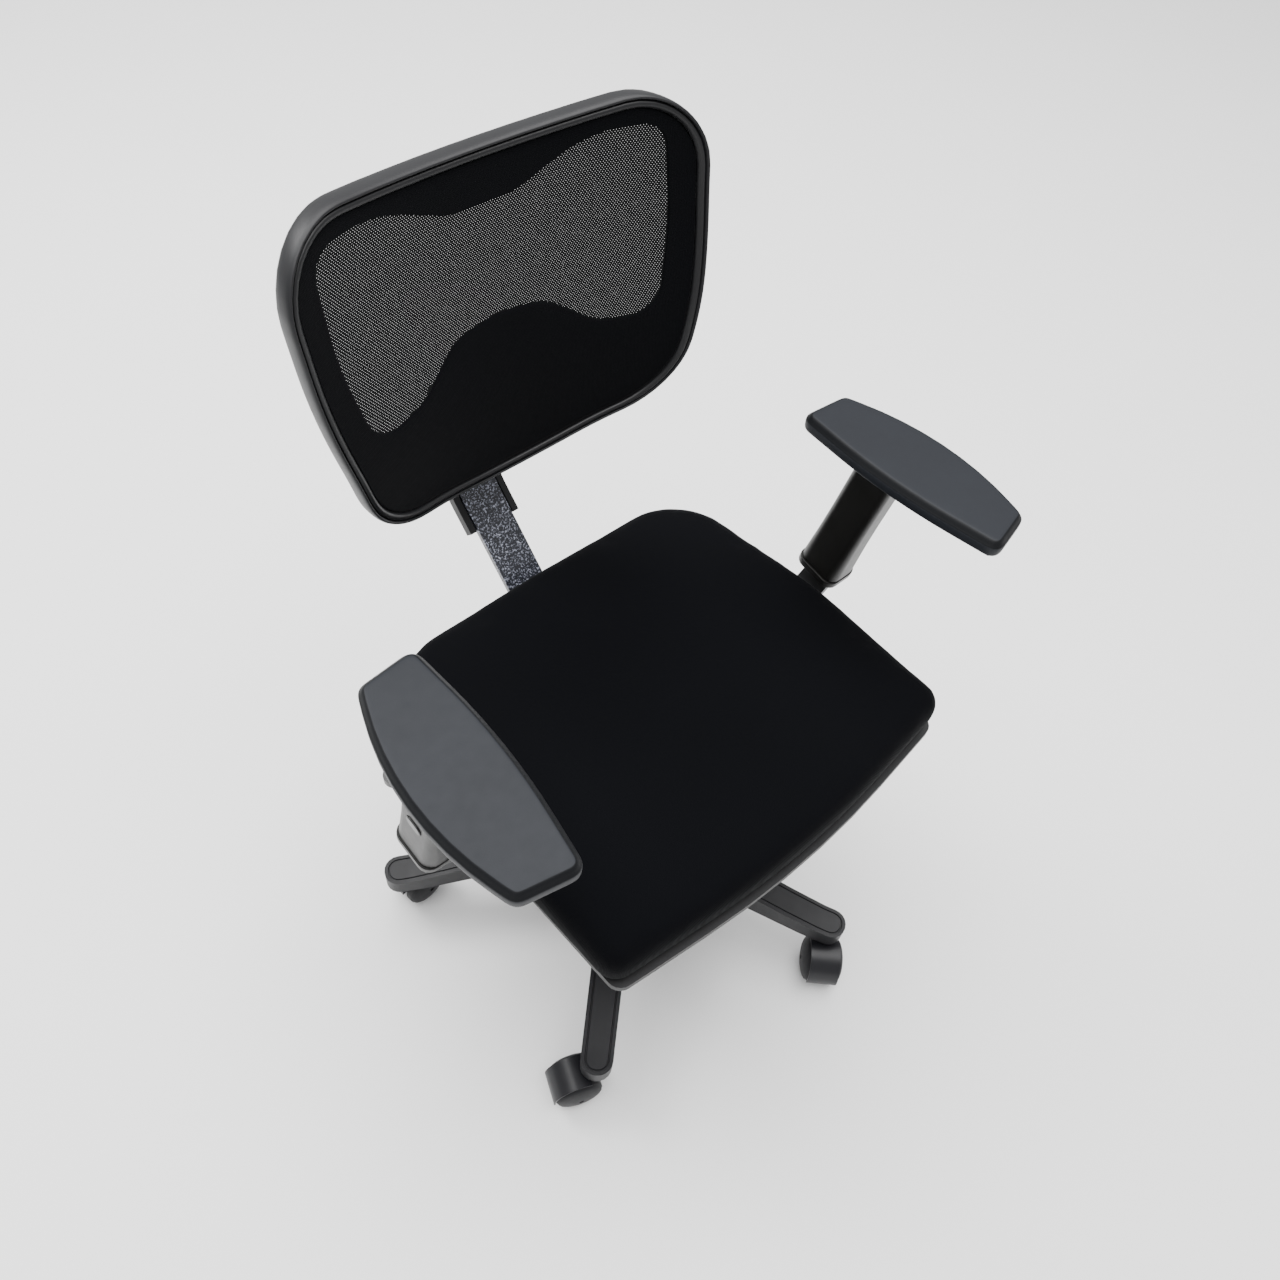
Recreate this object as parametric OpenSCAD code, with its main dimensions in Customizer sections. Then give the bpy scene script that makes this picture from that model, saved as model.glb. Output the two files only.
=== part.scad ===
// Swivel office chair with a mesh back, a flat steel back bar and adjustable arms.
// Origin on the floor under the gas column, +Z up, front of the seat towards -Y.

/* [Seat] */
// Width of the cushion at its widest
seat_w = 512; // [427:2:614]
// Depth of the cushion, front to rear
seat_d = 478; // [398:2:574]
// Distance from the column's axis back to the cushion's rear edge
seat_rear = 204; // [190:1:230]
// Height of the cushion's underside above the floor, at the lowest setting
seat_z = 427; // [420:1:520]
// Cushion thickness at its crown
cushion_t = 62; // [52:1:74]
// Thickness of the seat pan
pan_t = 16; // [12:1:20]

/* [Back] */
// Outer width of the back frame
back_w = 456; // [380:2:548]
// Outer height of the back frame, along its slope
back_h = 342; // [285:2:410]
// Height of the fabric panel's lower edge above the cushion's underside
back_rise = 209; // [190:1:260]
// Distance from the cushion's rear edge to the fabric at its lower edge
back_gap = 22; // [15:1:40]
// Backward slope of the back, in degrees
back_tilt = 10; // [4:0.5:15]
// How far the sides of the back wrap forward
back_wrap = 60; // [30:1:80]
// Width of the back bar
bar_w = 50; // [40:1:60]
// Thickness of the back bar
bar_t = 8; // [6:0.5:10]

/* [Arms] */
// Length of an arm pad
pad_len = 256; // [214:1:308]
// Width of an arm pad at its middle
pad_w = 96; // [80:1:115]
// Thickness of an arm pad
pad_t = 20; // [16:1:26]
// Height of the arm pad's top above the cushion's underside
pad_rise = 259; // [235:1:310]
// Forward lean of the arm post, in degrees
arm_lean = 9.5; // [0:0.5:12]
// Height travel of an arm
arm_travel = 70; // [50:5:80]

/* [Base] */
// Radius of the circle that the castor stems stand on
base_r = 304; // [253:1:365]
// Height of a leg's top face at its tip
tip_z = 94; // [90:1:105]
// Diameter of a castor wheel
wheel_d = 60; // [50:1:62]
// Outer diameter of the column's outer tube
tube_d = 50; // [46:1:54]
// Height travel of the gas lift
lift_travel = 100; // [80:5:110]

/* [Fits] */
// Radial clearance of a turning or sliding round fit
run_fit = 0.05; // [0.02:0.01:0.1]
// Gap around a flat bar that slides in its guide
slide_gap = 0.4; // [0.3:0.1:0.8]

/* [Hidden] */
$fn = 48;

legs = 5;
// Direction of the first leg and of each castor, anticlockwise from +X
leg_start = 295;
castor_yaws = [224, 158, 8, 60, 330];

// Castors
wheel_r = wheel_d / 2;
castor_off = 26;
web_half = 8;
wheel_in = web_half + 0.5;
tread_out = 19.5;
dome_out = 28;
hood_half = 20;
hood_in = wheel_r + 1;
hood_out = hood_in + 2.5;
castor_top = wheel_r + hood_out + 2.5;
axle_r = 3;
stem_r = 5.5;

// Star base
tip_r = 20;
tip_under = castor_top + 2;
hub_r = 39;
hub_top = tip_z + 48;
hub_low = tip_z - 16;
leg_w = 44;
wall = 3.5;

// Mechanism: levels are set from the underside of the cushion
pan_low = seat_z - pan_t;
plate_t = 3;
plate_low = pan_low - plate_t;
pivot_y = 26;
pivot_z = plate_low - 23;
house_low = plate_low - 58;
house_top = plate_low - 10;
house_x = 60;
house_front = -92;
house_rear = 62;
tilt_axle_r = 6;
bolt_y = -62;
knob_low = house_low - 88;
knob_top = house_low - 46;

// Gas column
tube_r = tube_d / 2;
tube_wall = 2;
tube_low = hub_low - 6;
tube_floor = 4;
tube_top = house_low - 65;
cyl_r = 14;
cyl_in = 11;
rod_r = 5;
bearing_low = tube_low + tube_floor;
bearing_t = 6;
stop_low = bearing_low + bearing_t + 4;
stop_t = 12;
cyl_low = stop_low + stop_t + 1;
cyl_top = house_low + 38;
plug_t = 23;
gland_t = 12;
piston_z = cyl_top - plug_t - 75;
pin_r = 3;
pin_top = cyl_top + 6;

// Lever
lever_x = -51;
lever_z = plate_low - 16;
lever_end = [-200, 88, plate_low - 36];
paddle_len = 96;
paddle_w = 26;
paddle_t = 9;

// Arms
arm_x = seat_w / 2 + 36;
arm_foot_y = 4;
strip_t = 6;
strip_low = pan_low - strip_t;
post_x = 8;
post_y = 38;
seam_z = seat_z + 42;
sleeve_a = 18.5;
sleeve_b = 26;
flare = 5;
collar_t = 10;
plate_thick = 5;
pad_top = seat_z + pad_rise;
sleeve_top = pad_top - pad_t - plate_thick;
button_z = seat_z + 108;
button_r = 7;
button_stroke = 3;
pad_y = -71;
pad_toe = 3;

// Back
rim = 14;
back_y = seat_rear + back_gap;
back_z = seat_z + back_rise;
panel_half = back_w / 2 - rim;
panel_h = back_h - rim * 2 - 7;
lumbar_bulge = 10;
shell_d = 24;
bar_lean = 4;
bar_foot = [80, plate_low];
bar_rise = [seat_rear - 18, plate_low];
bar_knee = [seat_rear + 110, seat_z + 101];
bar_top = [bar_knee[0] + 136 * tan(bar_lean), bar_knee[1] + 136];
carrier_low = bar_knee[1] + 40;
carrier_h = 96;
clamp_up = 30;
cover_top = carrier_low - 12;
screw_r = 3;

// ---- Shared functions ----

function unit(v) = v / norm(v);

// Arc of n steps that rounds the corner q of the path p, q, s to radius r
function corner(p, q, s, r, n) =
    let (a = unit(p - q), b = unit(s - q), half = acos(a * b) / 2,
        c = q + unit(a + b) * r / sin(half), t = r / tan(half),
        from = q + a * t - c, to = q + b * t - c,
        start = atan2(from[1], from[0]), turn = atan2(to[1], to[0]) - start,
        sweep = turn > 180 ? turn - 360 : turn < -180 ? turn + 360 : turn)
    [for (i = [0:n]) c + r * [cos(start + sweep * i / n), sin(start + sweep * i / n)]];

function xy(v) = [v[0], v[1]];

// Closed outline from vertices [x, y, corner radius]
function rounded(v, n = 5) = [for (i = [0:len(v) - 1]) each corner(
    xy(v[(i + len(v) - 1) % len(v)]), xy(v[i]), xy(v[(i + 1) % len(v)]), v[i][2], n)];

// Full outline from its right half, which runs from the lowest to the highest point on x = 0
function mirrored(h) = concat(h, [for (i = [len(h) - 2:-1:1]) [-h[i][0], h[i][1], h[i][2]]]);

// Outward normal of point i of a closed anticlockwise outline
function outward(p, i) = let (n = len(p), d = unit(p[(i + 1) % n] - p[(i + n - 1) % n])) [d[1], -d[0]];

function grow(p, by) = [for (i = [0:len(p) - 1]) p[i] + by * outward(p, i)];

// Open path from points [x, y] or [x, y, radius] with its bends rounded
function bent(v, n = 6) = concat([xy(v[0])],
    [for (i = [1:len(v) - 2]) each corner(xy(v[i - 1]), xy(v[i]), xy(v[i + 1]), v[i][2], n)],
    [xy(v[len(v) - 1])]);

// The same path moved sideways, to its right
function beside(p, by) = let (m = len(p) - 1) [for (i = [0:m])
    let (d = unit(p[min(i + 1, m)] - p[max(i - 1, 0)])) p[i] + by * [d[1], -d[0]]];

// Solid through a list of rings with the same number of points, closed at both ends
module loft(rings) {
    n = len(rings[0]);
    m = len(rings);
    middle = function (r) [for (k = [0:2]) [for (p = r) p[k]] * [for (p = r) 1] / n];
    points = concat([for (r = rings) each r], [middle(rings[0]), middle(rings[m - 1])]);
    sides = [for (k = [0:m - 2], i = [0:n - 1])
        let (j = (i + 1) % n, a = k * n, b = a + n)
        each [[a + i, b + i, b + j], [a + i, b + j, a + j]]];
    low = [for (i = [0:n - 1]) [m * n, i, (i + 1) % n]];
    high = [for (i = [0:n - 1]) [m * n + 1, (m - 1) * n + (i + 1) % n, (m - 1) * n + i]];
    polyhedron(points, concat(sides, low, high), convexity = 6);
}

// Ring-shaped solid through a closed list of rings
module loft_ring(rings) {
    n = len(rings[0]);
    m = len(rings);
    faces = [for (k = [0:m - 1], i = [0:n - 1])
        let (j = (i + 1) % n, a = k * n, b = ((k + 1) % m) * n)
        each [[a + i, b + i, b + j], [a + i, b + j, a + j]]];
    polyhedron([for (r = rings) each r], faces, convexity = 8);
}

// Rectangle with round ends: half width a, half length b
module stadium(a, b) {
    square([2 * a, 2 * (b - a)], center = true);
    for (s = [-1, 1]) translate([0, s * (b - a)]) circle(a);
}

// Tube around Z
module pipe(r_out, r_in, low, high) {
    translate([0, 0, low]) difference() {
        cylinder(r = r_out, h = high - low);
        translate([0, 0, -1]) cylinder(r = r_in, h = high - low + 2);
    }
}

// Plate drawn in the Y-Z plane and centred on x
module upright(x, thick) {
    translate([x - thick / 2, 0, 0]) rotate([90, 0, 90]) linear_extrude(thick) children();
}

// ---- Star base and castors ----

function leg_angle(i) = leg_start - i * 360 / legs;

module at_leg(i) {
    rotate(leg_angle(i)) children();
}

module at_castor(i) {
    at_leg(i) translate([base_r, 0, 0]) rotate(castor_yaws[i] - leg_angle(i)) children();
}

// Plan of one leg, made narrower all round by the inset
module leg_plan(inset) {
    near = leg_w / 2 - inset;
    far = tip_r - inset;
    reach = base_r + far;
    polygon(rounded([[0, -near, 2], [reach, -far, far - 1], [reach, far, far - 1], [0, near, 2]]));
}

module leg_block(inset) {
    reach = base_r + tip_r + 1;
    intersection() {
        linear_extrude(hub_top + 10) leg_plan(inset);
        translate([0, leg_w / 2 + 1, 0]) rotate([90, 0, 0]) linear_extrude(leg_w + 2)
            polygon([[0, hub_top - inset], [hub_r + 12, hub_top - 2 - inset],
                [base_r - 60, tip_z + 7 - inset], [base_r - 14, tip_z - inset], [reach, tip_z - inset],
                [reach, tip_under - inset * 4], [base_r - 34, tip_under - inset * 4],
                [hub_r, hub_low + 14 - inset * 4], [0, hub_low + 14 - inset * 4]]);
    }
}

module star_base() color([0.17, 0.17, 0.18]) difference() {
    union() {
        for (i = [0:legs - 1]) at_leg(i) {
            difference() {
                leg_block(0);
                difference() {
                    leg_block(wall);
                    for (x = [110, 165, 220]) translate([x, -leg_w, 0]) cube([wall, leg_w * 2, hub_top]);
                    translate([base_r, 0, 0]) cylinder(r = 12, h = tip_z);
                }
            }
        }
        translate([0, 0, hub_low]) cylinder(r = hub_r, h = hub_top - hub_low);
    }
    translate([0, 0, hub_low - 1]) cylinder(r1 = tube_r - 1, r2 = tube_r, h = hub_top - hub_low + 2);
    for (i = [0:legs - 1]) at_leg(i) translate([base_r, 0, tip_under - 1]) cylinder(r = stem_r, h = 24);
}

module castor_stems() color([0.6, 0.6, 0.62]) for (i = [0:legs - 1]) at_castor(i) {
    translate([0, 0, castor_top - 22]) cylinder(r = stem_r, h = 22 + 24);
    translate([0, 0, castor_top + 0.4]) cylinder(r = stem_r + 2.5, h = tip_under - castor_top - 0.4);
}

// Sector of a circle from angle a to angle b
module sector(r, a, b) {
    polygon(concat([[0, 0]], [for (k = [0:8]) 2 * r * [cos(a + (b - a) * k / 8), sin(a + (b - a) * k / 8)]]));
}

module across(half) {
    translate([0, half, 0]) rotate([90, 0, 0]) linear_extrude(half * 2) children();
}

module castor_hood(i) color([0.15, 0.15, 0.17]) at_castor(i) difference() {
    union() {
        across(hood_half) translate([castor_off, wheel_r]) intersection() {
            difference() {
                circle(hood_out);
                circle(hood_in);
            }
            sector(hood_out, -8, 118);
        }
        across(web_half) {
            translate([castor_off, wheel_r]) {
                circle(wheel_r - 5);
                intersection() {
                    circle(hood_in + 0.5);
                    sector(hood_out, 0, 125);
                }
            }
            translate([-web_half, wheel_r + 8]) square([web_half * 2, castor_top - wheel_r - 8]);
        }
        translate([0, 0, castor_top - 8]) cylinder(r = web_half + 1, h = 8);
    }
    translate([0, 0, wheel_r + 6]) cylinder(r = stem_r + run_fit, h = castor_top);
    translate([castor_off, 0, wheel_r]) rotate([90, 0, 0])
        cylinder(r = axle_r + run_fit, h = dome_out * 2, center = true);
}

module castor_axle(i) color([0.6, 0.6, 0.62]) at_castor(i)
    translate([castor_off, 0, wheel_r]) rotate([90, 0, 0]) cylinder(r = axle_r, h = (dome_out - 4) * 2, center = true);

// Half section of a wheel: radius against distance from the castor's middle
module wheel_section() {
    face = wheel_r - 1;
    dome = [for (k = [0:6]) [face * cos(k * 14), tread_out + (dome_out - tread_out) * sin(k * 14)]];
    polygon(concat([[axle_r, wheel_in], [face, wheel_in], [wheel_r, wheel_in + 1], [wheel_r, tread_out - 1]],
        dome, [[axle_r, dome_out - 0.2]]));
}

module castor_wheels(i) color([0.12, 0.12, 0.13]) at_castor(i) translate([castor_off, 0, wheel_r])
    for (side = [-90, 90]) rotate([side, 0, 0]) rotate_extrude() wheel_section();

// ---- Gas column ----

module column_tube() color([0.08, 0.08, 0.09]) difference() {
    union() {
        translate([0, 0, tube_low]) cylinder(r = tube_r - 2, h = hub_low - tube_low);
        translate([0, 0, hub_low]) cylinder(r1 = tube_r - 1, r2 = tube_r, h = hub_top - hub_low + 2);
        translate([0, 0, hub_top + 1]) cylinder(r = tube_r, h = tube_top - hub_top - 1);
    }
    translate([0, 0, bearing_low]) cylinder(r = tube_r - tube_wall - 1.5, h = tube_top);
    translate([0, 0, tube_low - 1]) cylinder(r = rod_r + 2, h = tube_floor + 2);
}

module column_bush() color([0.85, 0.85, 0.82]) {
    pipe(tube_r - tube_wall - 1.5, cyl_r + run_fit, tube_top - 80, tube_top);
    pipe(tube_r - 1, cyl_r + run_fit, tube_top, tube_top + 3);
}

module thrust_bearing() color([0.7, 0.7, 0.72]) {
    pipe(18, rod_r + 1, bearing_low, bearing_low + bearing_t);
}

module piston_rod() color([0.75, 0.75, 0.77]) {
    translate([0, 0, tube_low - 7]) cylinder(r = rod_r, h = piston_z - tube_low + 7);
    translate([0, 0, stop_low - 3.6]) cylinder(r = rod_r + 4, h = 3.6);
    translate([0, 0, piston_z]) cylinder(r = cyl_in - run_fit, h = 12);
}

module bump_stop() color([0.1, 0.1, 0.1]) pipe(12, rod_r, stop_low, stop_low + stop_t);

module retaining_clip() color([0.3, 0.3, 0.32]) difference() {
    pipe(rod_r + 4.5, rod_r, tube_low - 3, tube_low - 0.8);
    translate([0, -2.5, tube_low - 4]) cube([20, 5, 5]);
}

module gas_cylinder() color([0.7, 0.7, 0.72]) difference() {
    union() {
        translate([0, 0, cyl_low]) cylinder(r = cyl_r, h = house_low - cyl_low);
        translate([0, 0, house_low]) cylinder(r1 = cyl_r, r2 = cyl_r - 0.8, h = cyl_top - house_low);
    }
    translate([0, 0, cyl_low - 1]) cylinder(r = cyl_in, h = cyl_top - plug_t - cyl_low + 1);
    translate([0, 0, cyl_top - plug_t - 1]) cylinder(r = pin_r + run_fit, h = plug_t + 2);
}

module cylinder_gland() color([0.15, 0.15, 0.15]) pipe(cyl_in, rod_r + run_fit, cyl_low, cyl_low + gland_t);

module release_pin() color([0.8, 0.8, 0.82]) translate([0, 0, cyl_top - plug_t - 5])
    cylinder(r = pin_r, h = pin_top - cyl_top + plug_t + 5);

// ---- Tilt mechanism ----

module mech_housing() color([0.07, 0.07, 0.075]) difference() {
    union() {
        for (s = [-1, 1]) upright(s * (house_x - plate_t / 2), plate_t)
            polygon([[house_front, house_low], [house_rear, house_low], [house_rear, house_low + 20],
                [house_rear - 18, house_top], [house_front + 16, house_top], [house_front, house_low + 24]]);
        translate([-house_x, house_front, house_low]) cube([2 * house_x, house_rear - house_front, plate_t]);
        translate([-house_x, house_front, house_low]) cube([2 * house_x, plate_t, 24]);
        translate([-house_x, house_rear - plate_t, house_low]) cube([2 * house_x, plate_t, 20]);
        translate([0, 0, house_low]) cylinder(r = cyl_r + 5, h = cyl_top - house_low - 3);
        for (y = [-10, 7]) translate([lever_x - 5, y, house_low]) cube([10, 3, house_top - house_low]);
    }
    translate([0, 0, house_low]) cylinder(r1 = cyl_r, r2 = cyl_r - 0.8, h = cyl_top - house_low);
    translate([0, 0, house_low - 1]) cylinder(r = cyl_r, h = 1.001);
    translate([0, pivot_y, pivot_z]) rotate([0, 90, 0])
        cylinder(r = tilt_axle_r, h = house_x * 3, center = true);
    translate([lever_x, 0, lever_z]) rotate([90, 0, 0]) cylinder(r = 3, h = 40, center = true);
    translate([-house_x - 1, -10, lever_z - 12]) cube([plate_t + 2, 20, 40]);
    translate([-8, bolt_y - 20, house_low - 1]) cube([16, 32, plate_t + 2]);
}

module tilt_axle() color([0.6, 0.6, 0.62]) translate([0, pivot_y, pivot_z]) rotate([0, 90, 0]) {
    cylinder(r = tilt_axle_r, h = 2 * house_x + 18, center = true);
    for (s = [-1, 1]) translate([0, 0, s * (house_x + 10.5)]) cylinder(r = 9, h = 3, center = true);
}

module lever_pivot() color([0.6, 0.6, 0.62]) translate([lever_x, 0, lever_z]) rotate([90, 0, 0])
    cylinder(r = 3, h = 24, center = true);

lever_start = [lever_x - 5, 0, lever_z - 1];
lever_dir = unit(lever_end - lever_start);
lever_turn = atan2(lever_dir[1], lever_dir[0]);

module lever_arm() color([0.09, 0.09, 0.1]) difference() {
    union() {
        across(5) polygon([[lever_x - 7, lever_z - 5], [lever_x + 6, lever_z - 5],
            [lever_x + 6, pin_top + 0.6], [8, pin_top + 0.6], [8, pin_top + 5], [lever_x - 7, pin_top + 5]]);
        translate(lever_start) rotate([0, acos(lever_dir[2]), lever_turn])
            cylinder(r = 4, h = norm(lever_end - lever_start));
    }
    translate([lever_x, 0, lever_z]) rotate([90, 0, 0]) cylinder(r = 3 + run_fit, h = 40, center = true);
}

module lever_paddle() color([0.09, 0.09, 0.1]) difference() {
    translate(lever_end) rotate(lever_turn) translate([paddle_len / 2 - 16, 0, -paddle_t / 2 - 1])
        linear_extrude(paddle_t) rotate(90) stadium(paddle_w / 2, paddle_len / 2);
    lever_arm();
}

function seat_bolt_spots() = concat(
    [for (x = [-62, 62], y = [-82, 96]) [x, y, plate_low]],
    [for (x = [-14, 14]) [x, 96, plate_low - bar_t]],
    [for (s = [-1, 1], x = [118, 165]) [s * x, arm_foot_y, strip_low]]);

module bolt_holes() {
    for (b = seat_bolt_spots()) translate([b[0], b[1], plate_low - 20]) cylinder(r = screw_r, h = 29 + plate_t);
}

module seat_bolts() color([0.45, 0.45, 0.47]) for (b = seat_bolt_spots()) translate(b) {
    translate([0, 0, -4]) cylinder(r = 6, h = 4);
    cylinder(r = screw_r, h = plate_low + 9 + plate_t - b[2]);
}

module tilt_plate() color([0.07, 0.07, 0.075]) difference() {
    union() {
        translate([-76, -96, plate_low]) cube([152, 212, plate_t]);
        for (s = [-1, 1]) upright(s * (house_x + 5.5), 4) {
            translate([pivot_y - 12, pivot_z]) square([24, plate_low - pivot_z + 1]);
            translate([pivot_y, pivot_z]) circle(12);
        }
    }
    bolt_holes();
    translate([0, pivot_y, pivot_z]) rotate([0, 90, 0])
        cylinder(r = tilt_axle_r + run_fit, h = house_x * 3, center = true);
}

module tension_bolt() color([0.6, 0.6, 0.62]) translate([0, bolt_y, 0]) {
    translate([0, 0, knob_low + 2]) cylinder(r = rod_r, h = plate_low - knob_low - 2);
    translate([0, 0, plate_low - 6]) cylinder(r = 10, h = 6);
}

module tension_spring() color([0.25, 0.25, 0.27]) {
    low = knob_low + 20.5;
    high = house_low - 2.5;
    turns = 6;
    steps = turns * 14;
    mean_r = 15;
    wire_r = 2.2;
    loft([for (k = [0:steps])
        let (a = 360 * turns * k / steps, out = [cos(a), sin(a), 0],
            t = unit([-sin(a), cos(a), (high - low) / (turns * 2 * PI * mean_r)]), up = cross(t, out))
        [for (q = [0:7]) [0, bolt_y, low + (high - low) * k / steps]
            + (mean_r + wire_r * cos(45 * q)) * out + wire_r * sin(45 * q) * up]]);
}

module tension_knob() color([0.1, 0.1, 0.11]) translate([0, bolt_y, knob_low]) difference() {
    union() {
        cylinder(r = 23, h = knob_top - knob_low);
        for (k = [0:7]) rotate(k * 45) translate([21, 0, 0]) cylinder(r = 6, h = knob_top - knob_low - 6);
    }
    translate([0, 0, 18]) cylinder(r = 19, h = knob_top);
    translate([0, 0, -1]) cylinder(r = rod_r + run_fit, h = knob_top);
}

// ---- Seat ----

function seat_outline() = let (h = seat_w / 2, f = seat_rear - seat_d) rounded(mirrored([
    [0, f, 2.4 * seat_d], [h - 4, f + 30, 28], [h + 1, f + seat_d * 0.5, 1.6 * seat_d],
    [h - 24, seat_rear - 5, 0.19 * seat_d], [0, seat_rear, 3 * seat_d]]));

seat_mid = [0, seat_rear - seat_d / 2];

function seat_ring(inset, z) = [for (p = grow(seat_outline(), -inset)) [p[0], p[1], z]];

function seat_ring_scaled(f, z) = [for (p = seat_outline()) let (q = seat_mid + (p - seat_mid) * f) [q[0], q[1], z]];

module seat_pan() color([0.08, 0.08, 0.085]) difference() {
    union() {
        translate([0, 0, pan_low]) linear_extrude(pan_t / 2) polygon(grow(seat_outline(), -20));
        translate([0, 0, pan_low + pan_t / 2 - 1]) linear_extrude(pan_t / 2 + 1)
            polygon(grow(seat_outline(), -12));
    }
    bolt_holes();
}

module seat_cushion() color([0.05, 0.053, 0.06]) {
    edge = cushion_t - 11;
    loft([seat_ring(6, seat_z), seat_ring(1, seat_z + 5), seat_ring(0, seat_z + 14),
        seat_ring(0, seat_z + edge * 0.7), seat_ring(3, seat_z + edge * 0.87), seat_ring(11, seat_z + edge),
        seat_ring_scaled(0.86, seat_z + edge + 4.5), seat_ring_scaled(0.7, seat_z + edge + 7.5),
        seat_ring_scaled(0.4, seat_z + cushion_t - 1), seat_ring_scaled(0.15, seat_z + cushion_t)]);
}

// ---- Back bar ----

// Front face of the bar in the Y-Z plane
function bar_line() = bent([bar_foot, concat(bar_rise, 40), concat(bar_knee, 50), bar_top]);

function strip(line, near, far) = concat(beside(line, near), [for (i = [len(line) - 1:-1:0]) beside(line, far)[i]]);

module back_bar() color([0.16, 0.16, 0.22]) difference() {
    upright(0, bar_w) polygon(strip(bar_line(), 0, bar_t));
    bolt_holes();
}

module bar_cover() color([0.1, 0.1, 0.11]) {
    slope = unit(bar_knee - bar_rise);
    rise = unit(bar_top - bar_knee);
    line = bent([bar_knee - slope * 56, concat(bar_knee, 50), bar_knee + rise * (cover_top - bar_knee[1])]);
    upright(0, bar_w + 20) polygon(strip(line, bar_t, bar_t + 6));
    for (s = [-1, 1]) upright(s * (bar_w / 2 + 6), 8) polygon(strip(line, 1, bar_t + 4));
}

// ---- Arms ----

// The arm is drawn on the +X side and mirrored for the other one
module on_side(side) {
    if (side > 0) children();
    else mirror([1, 0, 0]) children();
}

// Places a shape in the frame of an arm's post: z along the post, from the height of the strip
module at_post() {
    translate([arm_x, arm_foot_y, strip_low]) rotate([arm_lean, 0, 0]) children();
}

function along(z) = (z - strip_low) / cos(arm_lean);

function oblong(a, b, r) = rounded([[a, -b, r], [a, b, r], [-a, b, r], [-a, -b, r]]);

module arm_bracket(side) color([0.07, 0.07, 0.075]) on_side(side) difference() {
    bend = 35;
    union() {
        at_post() difference() {
            translate([-bend, -post_y / 2, 0]) cube([bend + post_x / 2, post_y, along(sleeve_top) - 44]);
            translate([-bend - post_x / 2, -post_y, bend + post_x])
                cube([bend, 2 * post_y, along(sleeve_top)]);
            translate([-bend - post_x / 2, 0, bend + post_x]) rotate([90, 0, 0])
                cylinder(r = bend, h = 2 * post_y, center = true);
            translate([post_x / 2 - bend, -post_y, 0]) difference() {
                translate([0, 0, -1]) cube([bend + 1, 2 * post_y, bend + 1]);
                translate([0, -1, bend]) rotate([-90, 0, 0]) cylinder(r = bend, h = 2 * post_y + 2);
            }
        }
        translate([96, arm_foot_y - 22, strip_low]) cube([arm_x - bend + 12 - 96, 44, strip_t]);
    }
    bolt_holes();
}

module arm_collar(side) color([0.13, 0.13, 0.13]) on_side(side) at_post()
    translate([0, 0, along(seam_z) - collar_t]) linear_extrude(collar_t) difference() {
        polygon(oblong(sleeve_a + flare + 2, sleeve_b + 4, 14));
        square([post_x, post_y], center = true);
    }

// Height of a part of the sleeve, and how much wider it is there than at its top
sleeve_rings = [[0, 1], [0.12, 0.7], [0.28, 0.35], [0.5, 0.1], [0.75, 0], [1.2, 0]];

module arm_sleeve(side) color([0.12, 0.12, 0.12]) on_side(side) difference() {
    low = along(seam_z) + 0.6;
    tall = along(sleeve_top) - low;
    at_post() loft([for (q = sleeve_rings)
        let (e = flare * q[1]) [for (p = oblong(sleeve_a + e, sleeve_b + e * 0.6, 9 + e)) [p[0], p[1], low + tall * q[0]]]]);
    at_post() translate([0, 0, low - 1]) linear_extrude(tall - 12)
        square([post_x + 2 * slide_gap, post_y + 2 * slide_gap], center = true);
    translate([0, -seat_w, sleeve_top]) cube([seat_w, 2 * seat_w, 100]);
    at_post() translate([sleeve_a, 0, along(button_z)]) rotate([0, 90, 0])
        linear_extrude(26, center = true) stadium(button_r + 0.5, button_r + 4.5);
}

module arm_button(side) color([0.03, 0.03, 0.03]) on_side(side) at_post()
    translate([sleeve_a - 9, 0, along(button_z)]) rotate([0, 90, 0])
        linear_extrude(12) stadium(button_r, button_r + 4);

// Plan of an arm pad: blunt ends, a bulging outer edge and a nearly straight inner one
module pad_plan(inset) {
    translate([arm_x, pad_y]) rotate(pad_toe) polygon(grow(rounded([[-0.38 * pad_w, -0.5 * pad_len, 10],
        [0.26 * pad_w, -0.46 * pad_len, 10], [0.665 * pad_w, 0, 1.2 * pad_len],
        [0.24 * pad_w, 0.465 * pad_len, 10], [-0.4 * pad_w, 0.5 * pad_len, 10],
        [-0.54 * pad_w, 0, 2.6 * pad_len]], 7), -inset));
}

module pad_plate(side) color([0.08, 0.08, 0.085]) on_side(side) translate([0, 0, sleeve_top])
    linear_extrude(plate_thick) pad_plan(9);

module arm_pad(side) color([0.24, 0.26, 0.3]) on_side(side) translate([0, 0, sleeve_top + plate_thick])
    linear_extrude(pad_t) pad_plan(0);

// ---- Back ----

// Outline of the fabric panel: sideways and up the slope of the back
function back_outline() = rounded(mirrored([[0, -6, 420], [panel_half - 35, 25, 80],
    [panel_half - 4, panel_h * 0.54, 500], [panel_half + 1, panel_h + 13, 58], [0, panel_h - 6, 1500]]), 6);

// Point of the back: u sideways, v up the slope, d behind the fabric
function on_back(u, v, d) = let (
    depth = d - back_wrap * pow(u / 230, 2) - lumbar_bulge * exp(-pow((v - 95) / 75, 2)))
    [u, back_y + depth * cos(back_tilt) + v * sin(back_tilt), back_z + v * cos(back_tilt) - depth * sin(back_tilt)];

function back_ring(outline, by, d) = [for (p = grow(outline, by)) on_back(p[0], p[1], d)];

function back_ring_scaled(outline, mid, f, d) =
    [for (p = outline) let (q = mid + (p - mid) * f) on_back(q[0], q[1], d)];

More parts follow.
